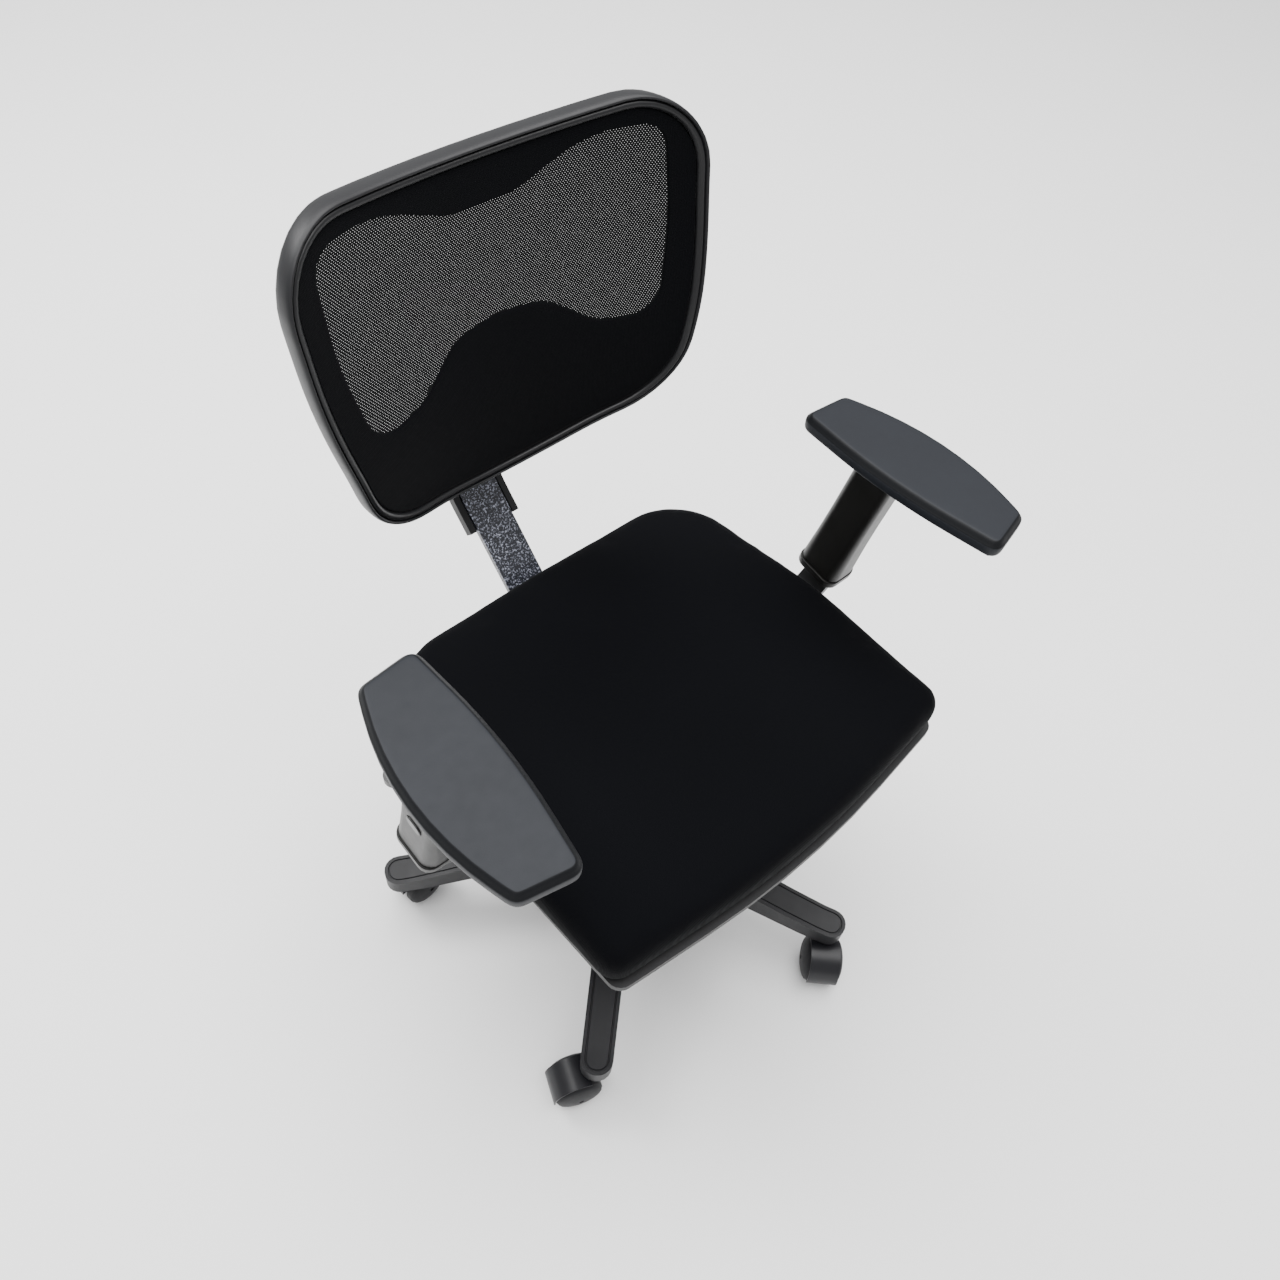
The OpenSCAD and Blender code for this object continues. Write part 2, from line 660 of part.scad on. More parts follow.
// Curved sheet inside an outline, from depth d0 to depth d1
module back_sheet(outline, mid, d0, d1) {
    steps = [0.12, 0.35, 0.55, 0.72, 0.87, 1];
    loft(concat([for (f = steps) back_ring_scaled(outline, mid, f, d1)],
        [for (k = [5:-1:0]) back_ring_scaled(outline, mid, steps[k], d0)]));
}

module back_frame() color([0.14, 0.14, 0.15]) loft_ring([for (q = [[12, 22], [13.5, 14], [13.2, 6], [12, 1],
    [10.5, -1], [9, 0.5], [8.9, 7.5], [-8, 7.5], [-9, 12], [-5, 21], [4, 24]]) back_ring(back_outline(), q[0], q[1])]);

module back_bead() color([0.1, 0.1, 0.11]) loft_ring([for (k = [0:7])
    back_ring(back_outline(), 5 + 3.4 * cos(k * 45), 3 + 3.6 * sin(k * 45))]);

module back_panel() color([0.06, 0.06, 0.065])
    back_sheet(grow(back_outline(), 1), [0, panel_h * 0.5], 3, 7.3);

function lumbar_outline() = rounded(mirrored([[0, 19, 500], [panel_half - 55, 38, 27],
    [panel_half - 48, 84, 21], [86, 101, 40], [0, 130, 60]]), 4);

module lumbar_pad() color([0.06, 0.06, 0.065]) back_sheet(lumbar_outline(), [0, 66], 9, 17.5);

// Frame of the bar at the carrier: z up the bar from the knee
module at_bar() {
    translate([0, bar_knee[0], bar_knee[1]]) rotate([-bar_lean, 0, 0]) children();
}

carrier_from = (carrier_low - bar_knee[1]) / cos(bar_lean);

screw_spots = [[-70, 42], [70, 42], [-70, 78], [70, 78]];

module screws_at_back() {
    for (q = screw_spots) translate(on_back(q[0], q[1], shell_d - 3)) rotate([-90 - back_tilt, 0, 0])
        children();
}

module back_carrier() color([0.1, 0.1, 0.11]) difference() {
    union() {
        back_sheet(grow(lumbar_outline(), 2), [0, 66], shell_d - 6, shell_d);
        upright(0, bar_w + 18) polygon([[bar_knee[0] - 12, carrier_low],
            [bar_knee[0] + bar_t + 12, carrier_low], [bar_top[0] + bar_t + 10, carrier_low + carrier_h],
            [bar_top[0] - 5, carrier_low + carrier_h + 3], [back_y + 19, back_z + 100], [back_y + 19, back_z + 26]]);
    }
    back_sheet(grow(lumbar_outline(), 30), [0, 66], -60, shell_d - 6);
    at_bar() translate([-bar_w / 2 - slide_gap, -slide_gap, 0])
        cube([bar_w + 2 * slide_gap, bar_t + 2 * slide_gap, 400]);
    at_bar() translate([0, 0, carrier_from + clamp_up]) rotate([-90, 0, 0]) cylinder(r = 5, h = 60);
    screws_at_back() translate([0, 0, -10]) cylinder(r = screw_r, h = 30);
}

module back_screws() color([0.45, 0.45, 0.47]) screws_at_back() {
    translate([0, 0, -2.5]) cylinder(r = screw_r, h = 6);
    translate([0, 0, 3.5]) cylinder(r = 5, h = 3);
}

module back_knob() color([0.1, 0.1, 0.11]) at_bar()
    translate([0, bar_t + 1, carrier_from + clamp_up]) rotate([-90, 0, 0]) {
        cylinder(r = 5 - run_fit, h = 12);
        translate([0, 0, 9]) {
            cylinder(r = 17, h = 18);
            for (k = [0:5]) rotate(k * 60) translate([15, 0, 0]) cylinder(r = 6, h = 16);
        }
    }

// ---- One line for each node ----

star_base();
castor_stems();
column_tube();
column_bush();
thrust_bearing();
castor_hood(0);  // castor_hood_1
castor_hood(1);  // castor_hood_2
castor_hood(2);  // castor_hood_3
castor_hood(3);  // castor_hood_4
castor_hood(4);  // castor_hood_5
castor_axle(0);  // castor_axle_1
castor_axle(1);  // castor_axle_2
castor_axle(2);  // castor_axle_3
castor_axle(3);  // castor_axle_4
castor_axle(4);  // castor_axle_5
castor_wheels(0);  // castor_wheels_1
castor_wheels(1);  // castor_wheels_2
castor_wheels(2);  // castor_wheels_3
castor_wheels(3);  // castor_wheels_4
castor_wheels(4);  // castor_wheels_5
piston_rod();
bump_stop();
retaining_clip();
gas_cylinder();
cylinder_gland();
mech_housing();
tilt_axle();
lever_pivot();
release_pin();
lever_arm();
lever_paddle();
tilt_plate();
seat_pan();
seat_cushion();
seat_bolts();
tension_bolt();
tension_spring();
tension_knob();
back_bar();
bar_cover();
arm_bracket(1);  // arm_bracket_left
arm_bracket(-1);  // arm_bracket_right
arm_collar(1);  // arm_collar_left
arm_collar(-1);  // arm_collar_right
arm_sleeve(1);  // arm_sleeve_left
arm_sleeve(-1);  // arm_sleeve_right
arm_button(1);  // arm_button_left
arm_button(-1);  // arm_button_right
pad_plate(1);  // pad_plate_left
pad_plate(-1);  // pad_plate_right
arm_pad(1);  // arm_pad_left
arm_pad(-1);  // arm_pad_right
back_frame();
back_bead();
back_panel();
lumbar_pad();
back_carrier();
back_screws();
back_knob();
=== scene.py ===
"""Looks of the swivel office chair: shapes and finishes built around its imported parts."""

import math

import bmesh
import bpy
from bpy.props import FloatProperty, FloatVectorProperty, PointerProperty
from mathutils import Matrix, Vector


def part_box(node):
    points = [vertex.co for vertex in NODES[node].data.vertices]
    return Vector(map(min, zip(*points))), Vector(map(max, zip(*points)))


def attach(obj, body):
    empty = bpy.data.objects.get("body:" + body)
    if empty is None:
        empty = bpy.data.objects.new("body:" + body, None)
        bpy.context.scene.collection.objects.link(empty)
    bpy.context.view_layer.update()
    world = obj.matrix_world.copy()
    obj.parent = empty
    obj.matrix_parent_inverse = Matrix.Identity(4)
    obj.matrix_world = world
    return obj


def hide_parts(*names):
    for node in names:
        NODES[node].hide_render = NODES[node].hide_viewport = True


bl_info = {
    "name": "Swivel office chair",
    "version": (1, 0, 0),
    "blender": (4, 5, 0),
    "location": "View3D > Sidebar > Chair",
    "description": "Builds the visible pieces and finishes of a mesh-back swivel chair",
    "category": "Object",
}

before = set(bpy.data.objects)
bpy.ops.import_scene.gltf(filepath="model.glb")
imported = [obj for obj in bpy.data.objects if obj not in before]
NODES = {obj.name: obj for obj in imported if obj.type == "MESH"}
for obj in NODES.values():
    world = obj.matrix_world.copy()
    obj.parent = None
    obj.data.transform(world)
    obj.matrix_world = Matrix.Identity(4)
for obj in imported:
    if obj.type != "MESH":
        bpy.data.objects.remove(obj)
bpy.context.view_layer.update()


def span(node, axis):
    low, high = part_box(node)
    return low[axis], high[axis]


SEAT_LOW, SEAT_TOP = span("seat_cushion", 2)
SEAT_FRONT, SEAT_REAR = span("seat_cushion", 1)
SEAT_HALF = span("seat_cushion", 0)[1]
PAD_LOW, PAD_TOP = span("arm_pad_left", 2)
ARM_X = sum(span("arm_collar_left", 0)) / 2 + 0.0005

# The back's fabric: half its width, its height, and where its lower edge lies
PANEL_HALF = 0.214
PANEL_H = 0.307
BACK_Y = 0.226
BACK_Z = 0.636
TILT = math.radians(10)

# An arm pad: its width, length, middle and toe-in
PAD_WIDE = 0.096
PAD_LONG = 0.256
PAD_Y = -0.071
PAD_TOE = math.radians(3)
PAD_CORNER = 0.012

# How much longer the curved mesh is than its width on the flat
MESH_STRETCH = 1.06

# The cloth that puffs up the seat
CLOTH_FRAMES = 20
CLOTH_PRESSURE = 4.0
CLOTH_STIFFNESS = 25

# ---- Sizes and colours ----


def metres(name, text, value, low=0.0, high=1.0):
    return FloatProperty(name=name, description=text, default=value, min=low, max=high,
                         subtype="DISTANCE", unit="LENGTH")


def colour(name, text, value):
    return FloatVectorProperty(name=name, description=text, default=value, min=0.0, max=1.0,
                               size=3, subtype="COLOR")


class ChairSizes(bpy.types.PropertyGroup):
    """Sizes of the soft pieces"""
    seat_crown: metres("Seat crown", "How far the seat fabric bulges above its edge",
                       0.008, 0.0, 0.03)
    seat_voxel: metres("Seat grid", "Grid of the seat cushion before it is puffed up",
                       0.005, 0.003, 0.01)
    pad_edge: metres("Pad edge", "Width of the soft chamfer round an arm pad", 0.006, 0.001, 0.012)
    mesh_pitch: metres("Mesh pitch", "Distance between two holes of the back's mesh",
                       0.003, 0.001, 0.01)
    weave_pitch: metres("Weave pitch", "Distance between two threads of the seat fabric",
                        0.0011, 0.0004, 0.004)


class ChairColours(bpy.types.PropertyGroup):
    """Colours of the finishes"""
    seat_fabric: colour("Seat fabric", "Tight woven seat cover", (0.0016, 0.0018, 0.0027))
    back_fabric: colour("Back fabric", "Knitted cover of the back", (0.0021, 0.0023, 0.0031))
    mesh_thread: colour("Mesh thread", "Threads of the open mesh", (0.005, 0.0052, 0.0056))
    frame_plastic: colour("Frame plastic", "Satin plastic round the back", (0.012, 0.0122, 0.0135))
    arm_plastic: colour("Arm plastic", "Satin plastic of the arm posts", (0.0095, 0.0092, 0.0088))
    pad_skin: colour("Pad skin", "Soft grey-blue skin of the arm pads", (0.0112, 0.0127, 0.0163))
    base_nylon: colour("Base nylon", "Dark grey moulded nylon of the star base",
                       (0.0110, 0.0110, 0.0125))
    castor_plastic: colour("Castor plastic", "Dark plastic of hoods and wheels",
                           (0.0085, 0.0085, 0.0105))
    hammer_dark: colour("Hammer paint, dark", "Dark part of the hammered paint on the bar",
                        (0.010, 0.011, 0.017))
    hammer_light: colour("Hammer paint, light", "Speckle of the hammered paint on the bar",
                         (0.42, 0.44, 0.54))


def sizes():
    return bpy.context.scene.chair_sizes


def colours():
    return bpy.context.scene.chair_colours


# ---- Outlines ----


def turn_corner(before, at, after, radius, steps):
    """Points of the arc that rounds one corner of an outline"""
    a, b = (before - at).normalized(), (after - at).normalized()
    half = math.acos(max(-1.0, min(1.0, a.dot(b)))) / 2
    centre = at + (a + b).normalized() * radius / math.sin(half)
    reach = radius / math.tan(half)
    start, end = at + a * reach - centre, at + b * reach - centre
    first = math.atan2(start.y, start.x)
    sweep = math.remainder(math.atan2(end.y, end.x) - first, 2 * math.pi)
    angles = [first + sweep * k / steps for k in range(steps + 1)]
    return [centre + radius * Vector((math.cos(t), math.sin(t))) for t in angles]


def outline(corners, steps):
    """Closed outline from corners (x, y, radius)"""
    count = len(corners)
    spots = [Vector(c[:2]) for c in corners]
    points = []
    for k in range(count):
        points += turn_corner(spots[k - 1], spots[k], spots[(k + 1) % count], corners[k][2], steps)
    return points


def both_halves(half):
    """Full list of corners from its right half, which starts and ends at x = 0"""
    return half + [(-x, y, r) for x, y, r in half[-2:0:-1]]


def even(points, count):
    """The same closed outline with its points spread evenly"""
    ends = points[1:] + points[:1]
    steps = [(b - a).length for a, b in zip(points, ends)]
    total, spots, k, done = sum(steps), [], 0, 0.0
    for n in range(count):
        want = total * n / count
        while done + steps[k] < want:
            done += steps[k]
            k += 1
        spots.append(points[k].lerp(ends[k], (want - done) / max(steps[k], 1e-9)))
    return spots


def grown(points, by):
    """The same outline moved outwards"""
    count, moved = len(points), []
    for k, point in enumerate(points):
        along = (points[(k + 1) % count] - points[k - 1]).normalized()
        moved.append(point + by * Vector((along.y, -along.x)))
    return moved


def seat_outline(count=160):
    half, front, rear = SEAT_HALF - 0.0005, SEAT_FRONT + 0.001, SEAT_REAR - 0.001
    deep = rear - front
    return even(outline(both_halves([
        (0, front, 2.4 * deep), (half - 0.004, front + 0.030, 0.028),
        (half + 0.0035, front + deep * 0.5, 1.2 * deep), (half - 0.027, rear - 0.005, 0.2 * deep),
        (0, rear, 3 * deep)]), 8), count)


def back_outline(count=220):
    return even(outline(both_halves([
        (0, -0.006, 0.42), (PANEL_HALF - 0.035, 0.025, 0.08),
        (PANEL_HALF - 0.004, PANEL_H * 0.54, 0.5),
        (PANEL_HALF + 0.001, PANEL_H + 0.013, 0.058), (0, PANEL_H - 0.006, 1.5)]), 8), count)


def on_back(u, v, depth):
    """Point of the back: u sideways, v up its slope, depth behind the fabric's face"""
    depth -= 0.060 * (u / 0.230) ** 2 + 0.010 * math.exp(-(((v - 0.095) / 0.075) ** 2))
    return Vector((u, BACK_Y + depth * math.cos(TILT) + v * math.sin(TILT),
                   BACK_Z + v * math.cos(TILT) - depth * math.sin(TILT)))


def window_outline(count=200):
    """Edge of the see-through part of the back, shaped like a bow tie"""
    half = [(0, 0.165, 0.14), (0.054, 0.159, 0.06), (0.104, 0.1215, 0.05), (0.170, 0.112, 0.036),
            (0.1885, 0.205, 0.30), (0.1875, 0.2995, 0.024), (0.118, 0.303, 0.16),
            (0.036, 0.2705, 0.07), (0, 0.2695, 0.30)]
    return even(outline(both_halves(half), 8), count)


# ---- Making meshes ----


def piece(name, bm, material, body, smooth=True):
    """Turns a bmesh into a finished object that rides on a body"""
    bmesh.ops.remove_doubles(bm, verts=bm.verts, dist=1e-6)
    bmesh.ops.recalc_face_normals(bm, faces=bm.faces)
    mesh = bpy.data.meshes.new(name)
    bm.to_mesh(mesh)
    bm.free()
    obj = bpy.data.objects.new(name, mesh)
    bpy.context.scene.collection.objects.link(obj)
    for polygon in mesh.polygons:
        polygon.use_smooth = smooth
    if material:
        mesh.materials.append(material)
    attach(obj, body)
    return obj


def modifier(obj, kind, **values):
    added = obj.modifiers.new(kind.title(), kind)
    for key, value in values.items():
        setattr(added, key, value)
    return added


def bevelled(obj, width, segments=2, angle=30):
    """Rounds the sharp edges of a piece"""
    return modifier(obj, "BEVEL", width=width, segments=segments, limit_method="ANGLE",
                    angle_limit=math.radians(angle), harden_normals=False)


def subdivided(obj, levels=1):
    return modifier(obj, "SUBSURF", levels=levels, render_levels=levels)


def start_ring(bm, points):
    """A first ring: a circle whose points are set on a curve"""
    ring = bmesh.ops.create_circle(bm, cap_ends=False, segments=len(points), radius=1.0)["verts"]
    for vert, point in zip(ring, points):
        vert.co = point
    edges = [bm.edges.get((ring[k - 1], ring[k])) for k in range(len(ring))]
    return ring, edges


def next_ring(bm, ring, edges, points):
    """Extrudes the last ring and sets the new one on a curve"""
    made = bmesh.ops.extrude_edge_only(bm, edges=edges)["geom"]
    new_verts = {v for v in made if isinstance(v, bmesh.types.BMVert)}
    follow = []
    for vert in ring:
        ends = (edge.other_vert(vert) for edge in vert.link_edges)
        follow.append(next(end for end in ends if end in new_verts))
    for vert, point in zip(follow, points):
        vert.co = point
    edges = [bm.edges.get((follow[k - 1], follow[k])) for k in range(len(follow))]
    return follow, edges


def swept(rings, closed=False, low_cap=True, high_cap=True):
    """Skin through rings of points; closed joins the last ring to the first"""
    bm = bmesh.new()
    first, first_edges = start_ring(bm, rings[0])
    ring, edges = first, first_edges
    for points in rings[1:]:
        ring, edges = next_ring(bm, ring, edges, points)
    if closed:
        bmesh.ops.bridge_loops(bm, edges=first_edges + edges)
    else:
        if low_cap:
            close_end(bm, first, first_edges)
        if high_cap:
            close_end(bm, ring, edges)
    return bm


def close_end(bm, ring, edges):
    """Closes an end with a fan round the middle of its ring"""
    middle = sum((v.co for v in ring), Vector()) / len(ring)
    made = bmesh.ops.extrude_edge_only(bm, edges=edges)["geom"]
    verts = [v for v in made if isinstance(v, bmesh.types.BMVert)]
    bmesh.ops.pointmerge(bm, verts=verts, merge_co=middle)


def merged_copy(node):
    """A welded copy of a CAD node's mesh"""
    bm = bmesh.new()
    bm.from_mesh(NODES[node].data)
    bmesh.ops.remove_doubles(bm, verts=bm.verts, dist=2e-6)
    bmesh.ops.dissolve_limit(bm, angle_limit=math.radians(0.5), verts=bm.verts, edges=bm.edges)
    return bm


# ---- Materials ----


class Finish:
    """A material whose nodes are added one by one"""

    def __init__(self, name, tint, rough=0.5, specular=0.5, metal=0.0, sheen=0.0, sheen_rough=0.5,
                 coat=0.0):
        self.material = bpy.data.materials.new(name)
        self.material.use_nodes = True
        self.tree = self.material.node_tree
        self.shader = self.tree.nodes["Principled BSDF"]
        inputs = self.shader.inputs
        inputs["Base Color"].default_value = (*tint, 1)
        inputs["Roughness"].default_value = rough
        inputs["Specular IOR Level"].default_value = specular
        inputs["Metallic"].default_value = metal
        inputs["Sheen Weight"].default_value = sheen
        inputs["Sheen Roughness"].default_value = sheen_rough
        inputs["Coat Weight"].default_value = coat
        self.place = self.node("ShaderNodeTexCoord").outputs["Object"]
        self.bump = None

    def node(self, kind, **values):
        made = self.tree.nodes.new(kind)
        for key, value in values.items():
            setattr(made, key, value)
        return made

    def link(self, source, target):
        self.tree.links.new(source, target)

    def mapped(self, turn=(0, 0, 0), scale=(1, 1, 1), source=None):
        made = self.node("ShaderNodeMapping")
        made.inputs["Rotation"].default_value = turn
        made.inputs["Scale"].default_value = scale
        self.link(source or self.place, made.inputs["Vector"])
        return made.outputs["Vector"]

    def noise(self, scale, detail=3.0, rough=0.5, vector=None):
        made = self.node("ShaderNodeTexNoise")
        made.inputs["Scale"].default_value = scale
        made.inputs["Detail"].default_value = detail
        made.inputs["Roughness"].default_value = rough
        self.link(vector or self.place, made.inputs["Vector"])
        return made.outputs["Fac"]

    def cells(self, scale, feature="F1", vector=None):
        made = self.node("ShaderNodeTexVoronoi", feature=feature)
        made.inputs["Scale"].default_value = scale
        self.link(vector or self.place, made.inputs["Vector"])
        return made.outputs["Distance"]

    def threads(self, pitch, axis="X", vector=None):
        """Parallel threads across one axis"""
        made = self.node("ShaderNodeTexWave", wave_type="BANDS", bands_direction=axis)
        made.inputs["Scale"].default_value = 2 * math.pi / (20 * pitch)
        made.inputs["Distortion"].default_value = 0.0
        self.link(vector or self.place, made.inputs["Vector"])
        return made.outputs["Fac"]

    def maths(self, kind, a, b=None, clamp=False):
        made = self.node("ShaderNodeMath", operation=kind, use_clamp=clamp)
        for k, value in enumerate((a, b)):
            if value is None:
                continue
            if isinstance(value, (int, float)):
                made.inputs[k].default_value = value
            else:
                self.link(value, made.inputs[k])
        return made.outputs[0]

    def spread(self, source, low, high, out_low=0.0, out_high=1.0):
        made = self.node("ShaderNodeMapRange")
        for name, value in (("From Min", low), ("From Max", high),
                            ("To Min", out_low), ("To Max", out_high)):
            made.inputs[name].default_value = value
        self.link(source, made.inputs["Value"])
        return made.outputs["Result"]

    def mix(self, factor, low, high):
        made = self.node("ShaderNodeMix", data_type="RGBA")
        self.link(factor, made.inputs["Factor"])
        for name, value in (("A", low), ("B", high)):
            socket = next(s for s in made.inputs if s.name == name and s.type == "RGBA")
            if isinstance(value, tuple):
                socket.default_value = (*value, 1)
            else:
                self.link(value, socket)
        return next(s for s in made.outputs if s.type == "RGBA")

    def colour_from(self, factor, low, high):
        """The base colour goes from one shade to another"""
        shade = self.mix(factor, low, high)
        self.link(shade, self.shader.inputs["Base Color"])
        return shade

    def rough_from(self, factor, low, high):
        self.link(self.spread(factor, 0, 1, low, high), self.shader.inputs["Roughness"])

    def raise_by(self, height, distance, strength=1.0):
        """Adds relief of a real depth"""
        made = self.node("ShaderNodeBump")
        made.inputs["Distance"].default_value = distance
        made.inputs["Strength"].default_value = strength
        self.link(height, made.inputs["Height"])
        if self.bump:
            self.link(self.bump, made.inputs["Normal"])
        self.bump = made.outputs["Normal"]
        self.link(self.bump, self.shader.inputs["Normal"])


def scaled(tint, by):
    return tuple(min(1.0, c * by) for c in tint)


def moulded(name, tint, rough=0.42, specular=0.2, grain=1400, depth=0.00006, vary=0.25):
    """Moulded plastic with a fine spark-eroded grain and slightly uneven gloss"""
    finish = Finish(name, tint, rough, specular)
    patches = finish.noise(9, 4)
    finish.colour_from(patches, scaled(tint, 1 - vary), scaled(tint, 1 + vary))
    finish.rough_from(finish.noise(60, 5, 0.6), rough - 0.07, rough + 0.09)
    finish.raise_by(finish.cells(grain), depth, 0.5)
    finish.raise_by(finish.noise(grain * 0.5, 3), depth * 0.6, 0.5)
    return finish.material


def metal(name, tint, rough=0.3, streak=(1, 1, 40)):
    """Turned or drawn steel with fine streaks"""
    finish = Finish(name, tint, rough, 0.5, 1.0)
    lines = finish.noise(60, 4, 0.6, finish.mapped(scale=streak))
    finish.colour_from(lines, scaled(tint, 0.8), scaled(tint, 1.15))
    finish.rough_from(lines, rough - 0.08, rough + 0.14)
    finish.raise_by(lines, 0.00003, 0.4)
    return finish.material


def woven(name, tint, pitch, sheen, turn=(0, 0, 0), depth=0.0002):
    """Tight plain weave: two sets of threads, with lint, painted highlight that makes the raised
    thread tops lighter and painted shade between the threads
    """
    finish = Finish(name, tint, 0.9, 0.06, 0.0, sheen, 0.45)
    flat = finish.mapped(turn)
    warp, weft = finish.threads(pitch, "X", flat), finish.threads(pitch, "Y", flat)
    cross = finish.maths("MULTIPLY", warp, weft)
    fuzz = finish.noise(2600, 2)
    lint = finish.maths("MULTIPLY", fuzz, 0.5)
    tops = finish.maths("MULTIPLY", finish.maths("ADD", cross, lint), 0.7)
    patches = finish.noise(5.5, 3)
    # painted shade and painted highlight: the colour is dark in the gaps between threads and light
    # on the raised thread tops, with real lint mixed in
    shade = finish.mix(tops, scaled(tint, 0.55), scaled(tint, 1.7))
    finish.colour_from(finish.spread(patches, 0.3, 0.7), scaled(tint, 0.8), shade)
    finish.rough_from(tops, 0.95, 0.74)
    finish.raise_by(cross, depth, 0.7)
    finish.raise_by(finish.noise(260, 3), 0.0004, 0.12)
    return finish.material


def hammered(name, dark, light):
    """Hammered paint: dark enamel with bright silvery speckle"""
    finish = Finish(name, dark, 0.36, 0.6, 0.25, 0.0, 0.5, 0.25)
    grain = finish.noise(430, 3, 0.7)
    speck = finish.spread(grain, 0.53, 0.62)
    blots = finish.spread(finish.noise(120, 4, 0.65), 0.38, 0.62)
    bright = finish.maths("MULTIPLY", speck, finish.spread(blots, 0, 1, 0.45, 1.0))
    finish.colour_from(bright, dark, light)
    finish.rough_from(speck, 0.30, 0.48)
    finish.raise_by(finish.noise(240, 3, 0.6), 0.0005, 0.5)
    return finish.material


def open_mesh(name, tint, pitch):
    """Open mesh: round holes in offset rows let the light through"""
    finish = Finish(name, tint, 0.8, 0.1, 0.0, 0.0, 0.5)
    uv = finish.node("ShaderNodeUVMap", uv_map="weave").outputs["UV"]
    parts = finish.node("ShaderNodeSeparateXYZ")
    finish.link(uv, parts.inputs[0])
    u = finish.maths("DIVIDE", parts.outputs[0], pitch)
    v = finish.maths("DIVIDE", parts.outputs[1], pitch * 0.62)
    row = finish.maths("FLOOR", v)
    shift = finish.maths("MULTIPLY", finish.maths("MODULO", finish.maths("ABSOLUTE", row), 2), 0.5)
    across = finish.maths("SUBTRACT", finish.maths("FRACT", finish.maths("ADD", u, shift)), 0.5)
    along = finish.maths("SUBTRACT", finish.maths("FRACT", v), 0.5)
    reach = finish.maths("ADD", finish.maths("MULTIPLY", across, across),
                         finish.maths("MULTIPLY", finish.maths("MULTIPLY", along, along), 0.55))
    solid = finish.spread(finish.maths("SQRT", reach), 0.045, 0.108)
    finish.link(solid, finish.shader.inputs["Alpha"])
    finish.colour_from(finish.noise(900, 3), scaled(tint, 0.7), scaled(tint, 1.5))
    finish.raise_by(finish.noise(1800, 2), 0.0001, 0.4)
    return finish.material


def pad_skin(name, tint):
    """Soft skin of the arm pads: fine leather-like pores, broad soft gloss"""
    finish = Finish(name, tint, 0.48, 0.17)
    patches = finish.noise(14, 4, 0.55)
    finish.colour_from(patches, scaled(tint, 0.86), scaled(tint, 1.12))
    finish.rough_from(finish.noise(90, 4), 0.42, 0.56)
    finish.raise_by(finish.cells(900, "F1"), 0.00012, 0.35)
    finish.raise_by(finish.noise(42, 3), 0.0006, 0.08)
    return finish.material


MADE = {}


def finish_for(name):
    """Each finish is made once and shared"""
    if name in MADE:
        return MADE[name]
    tints, lengths = colours(), sizes()
    makers = {
        "seat_fabric": lambda: woven(name, tuple(tints.seat_fabric), lengths.weave_pitch, 0.008),
        "back_fabric": lambda: woven(name, tuple(tints.back_fabric), 0.0015, 0.03,
                                     (math.radians(-80), 0, 0)),
        "open_mesh": lambda: open_mesh(name, tuple(tints.mesh_thread), lengths.mesh_pitch),
        "frame_plastic": lambda: moulded(name, tuple(tints.frame_plastic), 0.42, 0.26),
        "bead_plastic": lambda: moulded(name, scaled(tints.frame_plastic, 0.7), 0.36, 0.3),
        "arm_plastic": lambda: moulded(name, tuple(tints.arm_plastic), 0.36, 0.24, 1100),
        "button_plastic": lambda: moulded(name, (0.008, 0.008, 0.0085), 0.3, 0.5),
        "nylon": lambda: moulded(name, tuple(tints.base_nylon), 0.44, 0.26, 900, 0.00009),
        "castor_plastic": lambda: moulded(name, tuple(tints.castor_plastic), 0.34, 0.3),
        "tread": lambda: moulded(name, (0.010, 0.010, 0.0115), 0.5, 0.2),
        "carrier_plastic": lambda: moulded(name, (0.014, 0.014, 0.015), 0.45),
        "pan_plastic": lambda: moulded(name, (0.010, 0.010, 0.011), 0.55, 0.4, 500, 0.0002),
        "handle_plastic": lambda: moulded(name, (0.012, 0.012, 0.013), 0.35, 0.5),
        "stop_rubber": lambda: moulded(name, (0.012, 0.012, 0.012), 0.75, 0.3),
        "bush_plastic": lambda: moulded(name, (0.45, 0.44, 0.41), 0.4, 0.5),
        "tube_paint": lambda: moulded(name, (0.014, 0.014, 0.015), 0.32, 0.55, 500),
        "mech_paint": lambda: moulded(name, (0.012, 0.012, 0.013), 0.42, 0.5, 400, 0.0002),
        "pad_soft": lambda: pad_skin(name, tuple(tints.pad_skin)),
        # painted shade: the pad skin darkened for the tilted chamfer faces
        "pad_edge": lambda: pad_skin(name, scaled(tints.pad_skin, 0.3)),
        "hammer_paint": lambda: hammered(name, tuple(tints.hammer_dark), tuple(tints.hammer_light)),
        "plain_steel": lambda: metal(name, (0.42, 0.42, 0.44), 0.34),
        "bright_rod": lambda: metal(name, (0.62, 0.62, 0.64), 0.16),
        "spring_steel": lambda: metal(name, (0.14, 0.14, 0.15), 0.38),
        "bolt_steel": lambda: metal(name, (0.30, 0.30, 0.32), 0.36),
    }
    MADE[name] = makers[name]()
    return MADE[name]


def repaint(node, finish):
    """Gives a carried-over part its finish"""
    obj = NODES[node]
    material = finish_for(finish)
    if not obj.material_slots:
        obj.data.materials.append(material)
    for k in range(len(obj.material_slots)):
        obj.material_slots[k].material = material


def rounded(node, finish, body, width, segments=2, angle=35):
    """A carried-over part with softened edges and its finish"""
    obj = piece(f"{node}_shell", merged_copy(node), finish_for(finish), body)
    bevelled(obj, width, segments, angle)
    modifier(obj, "WEIGHTED_NORMAL")
    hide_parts(node)


# ---- Shared shapes ----


